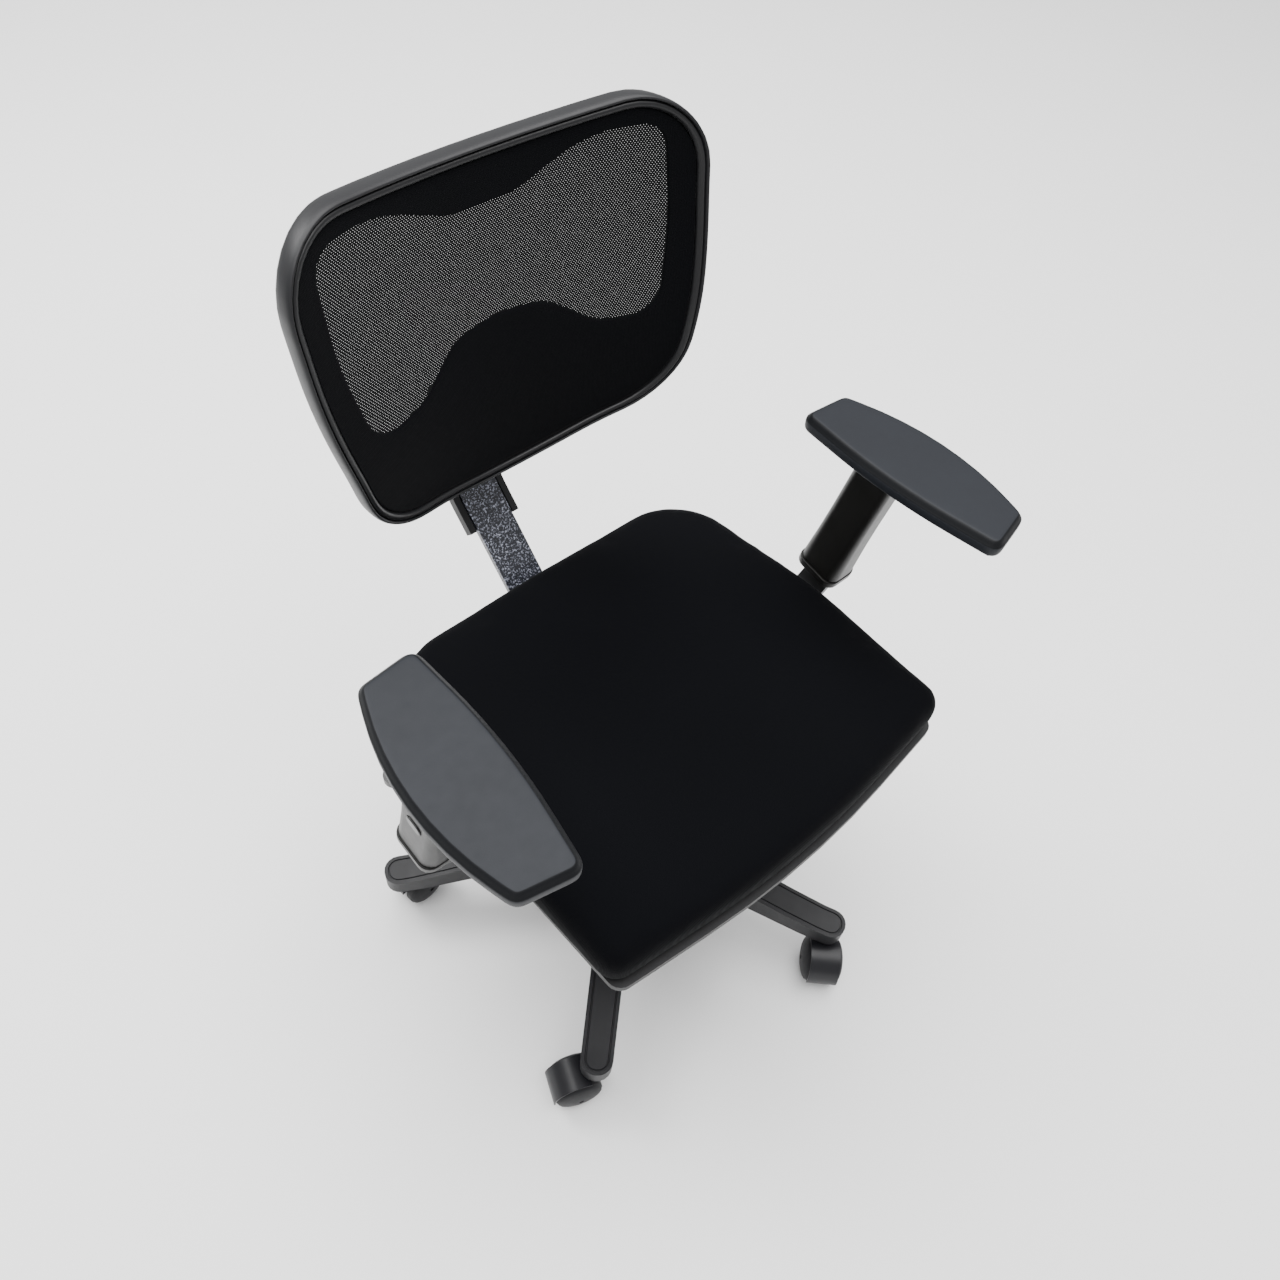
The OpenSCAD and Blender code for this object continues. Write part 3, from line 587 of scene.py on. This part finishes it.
def puffed(obj, cap, voxel):
    """Lets cloth swell under air pressure, keeps each point near where it was, and applies it"""
    modifier(obj, "REMESH", mode="VOXEL", voxel_size=voxel)
    bake(obj)
    before = [v.co.copy() for v in obj.data.vertices]
    cloth = obj.modifiers.new("Cloth", "CLOTH")
    cloth.settings.use_pressure = True
    cloth.settings.uniform_pressure_force = CLOTH_PRESSURE
    cloth.settings.tension_stiffness = CLOTH_STIFFNESS
    cloth.settings.compression_stiffness = CLOTH_STIFFNESS
    cloth.settings.effector_weights.gravity = 0.0
    cloth.point_cache.frame_start, cloth.point_cache.frame_end = 1, CLOTH_FRAMES
    scene = bpy.context.scene
    for frame in range(1, CLOTH_FRAMES + 1):
        scene.frame_set(frame)
    bake(obj)
    scene.frame_set(1)
    for vert, start in zip(obj.data.vertices, before):
        moved = vert.co - start
        if moved.length > cap:
            vert.co = start + moved.normalized() * cap


def bake(obj):
    """Applies every modifier of an object to its mesh"""
    bpy.context.view_layer.update()
    graph = bpy.context.evaluated_depsgraph_get()
    mesh = bpy.data.meshes.new_from_object(obj.evaluated_get(graph))
    obj.modifiers.clear()
    old = obj.data
    obj.data = mesh
    mesh.name = obj.name
    bpy.data.meshes.remove(old)
    for polygon in mesh.polygons:
        polygon.use_smooth = True


def pad_outline(side, count=120):
    """Outline of an arm pad, straighter on its inner edge and toed in"""
    wide, long, corner = PAD_WIDE, PAD_LONG, PAD_CORNER
    corners = [(-0.38 * wide, -0.5 * long, corner), (0.26 * wide, -0.46 * long, corner),
               (0.665 * wide, 0, 1.2 * long), (0.24 * wide, 0.465 * long, corner),
               (-0.4 * wide, 0.5 * long, corner), (-0.54 * wide, 0, 2.6 * long)]
    across, along = math.cos(PAD_TOE), math.sin(PAD_TOE)
    points = []
    for p in outline(corners, 8):
        points.append(Vector((ARM_X + p.x * across - p.y * along,
                              PAD_Y + p.x * along + p.y * across)))
    points = even(points, count)
    return points if side > 0 else [Vector((-p.x, p.y)) for p in reversed(points)]


SIDES = ((1, "left"), (-1, "right"))


# ---- Operators, one for each piece or group of like pieces ----


class ChairOperator(bpy.types.Operator):
    """Shared settings of the chair's operators"""
    bl_options = {"REGISTER", "UNDO"}


class CHAIR_OT_seat(ChairOperator):
    """Seat cushion: a crowned pad under tight fabric, with a seam line low on its side"""
    bl_idname = "chair.seat"
    bl_label = "Seat cushion"

    def execute(self, context):
        crown = sizes().seat_crown
        shape = seat_outline()
        middle = Vector((0, (SEAT_FRONT + SEAT_REAR) / 2))
        tall = SEAT_TOP - SEAT_LOW - 0.011
        inset = 0.003

        def ring(by, z):
            return [(p.x, p.y, z) for p in grown(shape, -by)]

        def shrunk(factor, z):
            inner = grown(shape, -0.014)
            return [(q.x, q.y, z) for q in (middle + (p - middle) * factor for p in inner)]

        low = SEAT_LOW + 0.0015
        rings = [shrunk(0.3, low), shrunk(0.8, low), ring(0.012 + inset, low),
                 ring(0.006 + inset, SEAT_LOW + 0.003), ring(inset + 0.001, SEAT_LOW + 0.010),
                 ring(inset, SEAT_LOW + tall * 0.45),
                 ring(inset, SEAT_LOW + tall * 0.66), ring(inset + 0.003, SEAT_LOW + tall * 0.84),
                 ring(inset + 0.008, SEAT_LOW + tall * 0.95), ring(inset + 0.014, SEAT_LOW + tall)]
        for factor in (0.95, 0.88, 0.78, 0.66, 0.52, 0.38, 0.24, 0.12):
            rise = 0.011 * (1 - factor ** 2.4)
            rings.append(shrunk(factor, SEAT_LOW + tall + rise - 0.0015))
        cushion = piece("seat_cushion_cover", swept(rings), None, "seat")
        puffed(cushion, crown * 0.5, sizes().seat_voxel)
        for vert in cushion.data.vertices:
            vert.co.z = max(vert.co.z, SEAT_LOW + 0.0005)
        subdivided(cushion)
        bake(cushion)
        cushion.data.materials.clear()
        cushion.data.materials.append(finish_for("seat_fabric"))
        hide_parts("seat_cushion")
        return {"FINISHED"}


class CHAIR_OT_back(ChairOperator):
    """Back: satin outer frame, rounded bead, fabric panel and the open mesh in its window"""
    bl_idname = "chair.back"
    bl_label = "Back"

    def execute(self, context):
        shape = back_outline()

        def ring(by, depth):
            return [on_back(p.x, p.y, depth) for p in grown(shape, by)]

        profile = ((0.0125, 0.0220), (0.0134, 0.0195), (0.0137, 0.0150), (0.0137, 0.0100),
                   (0.0134, 0.0055), (0.0128, 0.0025), (0.0118, 0.0002), (0.0106, -0.0008),
                   (0.0096, -0.0004), (0.0091, 0.0010), (0.0089, 0.0075), (-0.0080, 0.0075),
                   (-0.0090, 0.0120), (-0.0050, 0.0210), (0.0040, 0.0240), (0.0100, 0.0236))
        frame = piece("back_frame_shell", swept([ring(*p) for p in profile], closed=True),
                      finish_for("frame_plastic"), "back")
        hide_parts("back_frame")
        rings = [ring(0.005 + 0.0034 * math.cos(a), 0.0030 + 0.0036 * math.sin(a))
                 for a in (k * math.pi / 8 for k in range(16))]
        bead = piece("back_bead_trim", swept(rings, closed=True), finish_for("bead_plastic"),
                     "back")
        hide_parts("back_bead")

        window = window_outline(len(shape))
        start = min(range(len(window)), key=lambda k: (window[k] - Vector((0, 0.16))).length)
        window = window[start:] + window[:start]
        begin = min(range(len(shape)), key=lambda k: (shape[k] - Vector((0, -0.004))).length)
        outer = grown(shape, 0.0008)
        outer = outer[begin:] + outer[:begin]

        def between(factor, depth):
            return [on_back(*a.lerp(b, factor), depth) for a, b in zip(window, outer)]

        steps = (0.0, 0.02, 0.12, 0.3, 0.5, 0.7, 0.88, 0.97, 1.0)
        face = [between(f, 0.0030 - 0.0004 * math.sin(math.pi * min(1, f * 8))) for f in steps]
        rear = [between(f, 0.0062) for f in reversed(steps)]
        panel = piece("back_panel_fabric", swept(face + rear, closed=True),
                      finish_for("back_fabric"), "back")

        wide = grown(window, 0.0035)
        middle = Vector((0, 0.215))
        rings = [[on_back(*(middle + (p - middle) * f), 0.0046) for p in wide]
                 for f in (1.0, 0.9, 0.78, 0.64, 0.48, 0.32, 0.16, 0.05)]
        bm = swept(rings, low_cap=False)
        mesh_sheet = piece("back_mesh_sheet", bm, finish_for("open_mesh"), "back")
        # own UV: metres across and up the slope, so that the holes keep their pitch
        layer = mesh_sheet.data.uv_layers.new(name="weave")
        for loop in mesh_sheet.data.loops:
            co = mesh_sheet.data.vertices[loop.vertex_index].co
            slant = math.hypot(co.y - BACK_Y, co.z - BACK_Z)
            layer.data[loop.index].uv = (co.x * MESH_STRETCH, slant)
        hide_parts("back_panel")
        return {"FINISHED"}


class CHAIR_OT_lumbar(ChairOperator):
    """Lumbar pad: a thin foam pad behind the lower half of the back fabric"""
    bl_idname = "chair.lumbar"
    bl_label = "Lumbar pad"

    def execute(self, context):
        shape = even(outline(both_halves([
            (0, 0.019, 0.5), (PANEL_HALF - 0.055, 0.038, 0.027), (PANEL_HALF - 0.048, 0.084, 0.021),
            (0.086, 0.101, 0.040), (0, 0.130, 0.060)]), 6), 90)
        shape = grown(shape, -0.002)
        middle = Vector((0, 0.066))

        def shrunk(factor, depth):
            return [on_back(*(middle + (p - middle) * factor), depth) for p in shape]

        rings = [shrunk(f, d) for f, d in (
            (0.1, 0.0085), (0.4, 0.0085), (0.7, 0.0088), (0.9, 0.0095), (0.97, 0.0112),
            (1.0, 0.0135), (0.97, 0.0158), (0.9, 0.0172), (0.6, 0.0175), (0.1, 0.0175))]
        pad = piece("lumbar_pad_foam", swept(rings), finish_for("back_fabric"),
                    "back")
        subdivided(pad)
        bake(pad)
        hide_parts("lumbar_pad")
        return {"FINISHED"}


class CHAIR_OT_arm_pads(ChairOperator):
    """Arm pads: soft skins with a narrow chamfer round a flat top"""
    bl_idname = "chair.arm_pads"
    bl_label = "Arm pads"

    def execute(self, context):
        edge = sizes().pad_edge
        deep = PAD_TOP - PAD_LOW
        for side, name in SIDES:
            shape = pad_outline(side)

            def ring(by, z, shape=shape):
                return [(p.x, p.y, z) for p in grown(shape, -by)]

            middle = sum(shape, Vector((0, 0))) / len(shape)

            def shrunk(factor, z, shape=shape, middle=middle):
                inner = grown(shape, -edge - 0.0015)
                return [(q.x, q.y, z) for q in (middle + (p - middle) * factor for p in inner)]

            low = PAD_LOW + 0.0003
            top = PAD_TOP
            rings = [shrunk(0.3, low), shrunk(0.8, low), ring(0.004, low),
                     ring(0.0015, low + 0.0008), ring(0.0004, low + 0.003),
                     ring(0.0, low + deep * 0.35), ring(0.0, low + deep * 0.62),
                     ring(0.0006, low + deep * 0.68), ring(0.0016, low + deep * 0.72),
                     ring(edge * 0.55, top - 0.0026), ring(edge * 0.85, top - 0.0008),
                     ring(edge, top - 0.0004), shrunk(1.0, top), shrunk(0.9, top), shrunk(0.6, top),
                     shrunk(0.25, top)]
            pad = piece(f"arm_pad_skin_{name}", swept(rings), finish_for("pad_soft"),
                        f"arm_{name}")
            # painted shade on the chamfer: the faces that tilt away from the light get a darker
            # copy of the skin
            subdivided(pad)
            bake(pad)
            pad.data.materials.append(finish_for("pad_edge"))
            steepest, flattest = 0.25, 0.93
            for polygon in pad.data.polygons:
                if steepest < polygon.normal.z < flattest and polygon.center.z > low + deep * 0.6:
                    polygon.material_index = 1
            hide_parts(f"arm_pad_{name}")
        return {"FINISHED"}


class CHAIR_OT_arm_posts(ChairOperator):
    """Arm posts: sleeves, collars and buttons with rounded edges and a moulded finish"""
    bl_idname = "chair.arm_posts"
    bl_label = "Arm posts"

    def execute(self, context):
        for _, name in SIDES:
            repaint(f"arm_bracket_{name}", "mech_paint")
            repaint(f"pad_plate_{name}", "carrier_plastic")
            for part, finish, width, body in (
                    ("arm_sleeve", "arm_plastic", 0.0012, f"arm_{name}"),
                    ("arm_collar", "arm_plastic", 0.0015, "seat"),
                    ("arm_button", "button_plastic", 0.0012, f"button_{name}")):
                rounded(f"{part}_{name}", finish, body, width, 3, 30)
        return {"FINISHED"}


class CHAIR_OT_bar(ChairOperator):
    """Back bar, its cover, the carrier and the clamp knob"""
    bl_idname = "chair.bar"
    bl_label = "Back bar"

    def execute(self, context):
        for node, finish, width, body in (("back_bar", "hammer_paint", 0.0014, "seat"),
                                          ("bar_cover", "carrier_plastic", 0.0015, "seat"),
                                          ("back_carrier", "carrier_plastic", 0.0010, "back"),
                                          ("back_knob", "handle_plastic", 0.0015, "back_clamp")):
            rounded(node, finish, body, width)
        repaint("back_screws", "bolt_steel")
        return {"FINISHED"}


class CHAIR_OT_base(ChairOperator):
    """Star base: moulded legs with rounded edges"""
    bl_idname = "chair.base"
    bl_label = "Star base"

    def execute(self, context):
        bm = merged_copy("star_base")
        upward, broad, past_hub = 0.7, 4e-4, 0.06
        tops = [f for f in bm.faces if f.normal.z > upward and f.calc_area() > broad
                and f.calc_center_median().xy.length > past_hub]
        # a shallow groove set in from the edge of each leg's top
        for thickness, depth in ((0.0045, 0.0), (0.0008, -0.0016), (0.0010, 0.0), (0.0008, 0.0016)):
            bmesh.ops.inset_region(bm, faces=tops, thickness=thickness, depth=depth,
                                   use_even_offset=True)
        obj = piece("star_base_shell", bm, finish_for("nylon"), "base")
        bevelled(obj, 0.0022, 3, 50)
        modifier(obj, "WEIGHTED_NORMAL")
        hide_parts("star_base")
        return {"FINISHED"}


class CHAIR_OT_castors(ChairOperator):
    """Castors: hoods, twin wheels, axles and stems"""
    bl_idname = "chair.castors"
    bl_label = "Castors"

    def execute(self, context):
        for k in range(1, 6):
            for node, finish, body in ((f"castor_hood_{k}", "castor_plastic", f"castor_{k}"),
                                       (f"castor_wheels_{k}", "tread", f"wheels_{k}")):
                rounded(node, finish, body, 0.0012)
            repaint(f"castor_axle_{k}", "plain_steel")
        repaint("castor_stems", "plain_steel")
        return {"FINISHED"}


class CHAIR_OT_column(ChairOperator):
    """Gas column and its fittings"""
    bl_idname = "chair.column"
    bl_label = "Gas column"

    def execute(self, context):
        for node, finish in (("column_tube", "tube_paint"), ("column_bush", "bush_plastic"),
                             ("thrust_bearing", "plain_steel"), ("piston_rod", "bright_rod"),
                             ("bump_stop", "stop_rubber"), ("retaining_clip", "spring_steel"),
                             ("gas_cylinder", "bright_rod"), ("cylinder_gland", "stop_rubber"),
                             ("release_pin", "bright_rod")):
            repaint(node, finish)
        return {"FINISHED"}


class CHAIR_OT_mechanism(ChairOperator):
    """Tilt mechanism, lever, tension knob and seat pan"""
    bl_idname = "chair.mechanism"
    bl_label = "Mechanism"

    def execute(self, context):
        for node, finish in (("mech_housing", "mech_paint"), ("tilt_axle", "plain_steel"),
                             ("lever_pivot", "plain_steel"), ("lever_arm", "tube_paint"),
                             ("tilt_plate", "mech_paint"), ("seat_bolts", "bolt_steel"),
                             ("tension_bolt", "plain_steel"), ("tension_spring", "spring_steel")):
            repaint(node, finish)
        for node, finish, width, body in (("lever_paddle", "handle_plastic", 0.003, "lever"),
                                          ("seat_pan", "pan_plastic", 0.002, "seat"),
                                          ("tension_knob", "handle_plastic", 0.0015, "knob")):
            rounded(node, finish, body, width, 3)
        return {"FINISHED"}


class CHAIR_OT_stage(ChairOperator):
    """Pale floor, soft lights and the camera"""
    bl_idname = "chair.stage"
    bl_label = "Stage"

    def execute(self, context):
        scene = context.scene
        bm = bmesh.new()
        bmesh.ops.create_grid(bm, x_segments=2, y_segments=2, size=6.0)
        mesh = bpy.data.meshes.new("floor")
        bm.to_mesh(mesh)
        bm.free()
        floor = bpy.data.objects.new("floor", mesh)
        scene.collection.objects.link(floor)
        pale = Finish("floor_paper", (0.93, 0.93, 0.93), 0.9, 0.1)
        pale.colour_from(pale.noise(3, 2), (0.92, 0.92, 0.92), (0.94, 0.94, 0.94))
        mesh.materials.append(pale.material)
        world = bpy.data.worlds.new("studio")
        world.use_nodes = True
        world.node_tree.nodes["Background"].inputs["Color"].default_value = (1, 1, 1, 1)
        world.node_tree.nodes["Background"].inputs["Strength"].default_value = 0.75
        scene.world = world
        for name, spot, aim, size, power in (
                ("top", (0.3, 0.4, 4.2), (0, 0, 0.3), 5.0, 420),
                ("key", (-0.9, 2.3, 2.7), (-0.2, 0, 0.6), 1.3, 60),
                ("front", (-2.4, -1.6, 2.0), (0, 0, 0.5), 1.4, 7)):
            light = bpy.data.lights.new(name, "AREA")
            light.shape, light.size, light.energy = "DISK", size, power
            lamp = bpy.data.objects.new(name, light)
            scene.collection.objects.link(lamp)
            lamp.location = spot
            lamp.rotation_euler = (Vector(aim) - Vector(spot)).to_track_quat("-Z", "Y").to_euler()
        lens = bpy.data.cameras.new("camera")
        lens.lens, lens.sensor_width = 30.317, 36.0
        camera = bpy.data.objects.new("camera", lens)
        scene.collection.objects.link(camera)
        camera.location = (-0.5136, -0.4466, 1.4479)
        camera.rotation_euler = tuple(math.radians(a) for a in (36.589, -4.691, -41.614))
        scene.camera = camera
        return {"FINISHED"}


OPERATORS = (CHAIR_OT_seat, CHAIR_OT_back, CHAIR_OT_lumbar, CHAIR_OT_arm_pads,
             CHAIR_OT_arm_posts, CHAIR_OT_bar, CHAIR_OT_base, CHAIR_OT_castors,
             CHAIR_OT_column, CHAIR_OT_mechanism, CHAIR_OT_stage)


class CHAIR_PT_panel(bpy.types.Panel):
    """Lists the chair's pieces and their sizes"""
    bl_idname = "CHAIR_PT_panel"
    bl_label = "Swivel chair"
    bl_space_type = "VIEW_3D"
    bl_region_type = "UI"
    bl_category = "Chair"

    def draw(self, context):
        column = self.layout.column(align=True)
        for group in (context.scene.chair_sizes, context.scene.chair_colours):
            for name in group.__annotations__:
                column.prop(group, name)
        for operator in OPERATORS:
            self.layout.operator(operator.bl_idname)


CLASSES = (ChairSizes, ChairColours, *OPERATORS, CHAIR_PT_panel)


def register():
    for item in CLASSES:
        bpy.utils.register_class(item)
    bpy.types.Scene.chair_sizes = PointerProperty(type=ChairSizes)
    bpy.types.Scene.chair_colours = PointerProperty(type=ChairColours)


def unregister():
    del bpy.types.Scene.chair_colours
    del bpy.types.Scene.chair_sizes
    for item in reversed(CLASSES):
        bpy.utils.unregister_class(item)


def main():
    register()
    for operator in OPERATORS:
        group, name = operator.bl_idname.split(".")
        getattr(getattr(bpy.ops, group), name)()


if __name__ == "__main__":
    main()
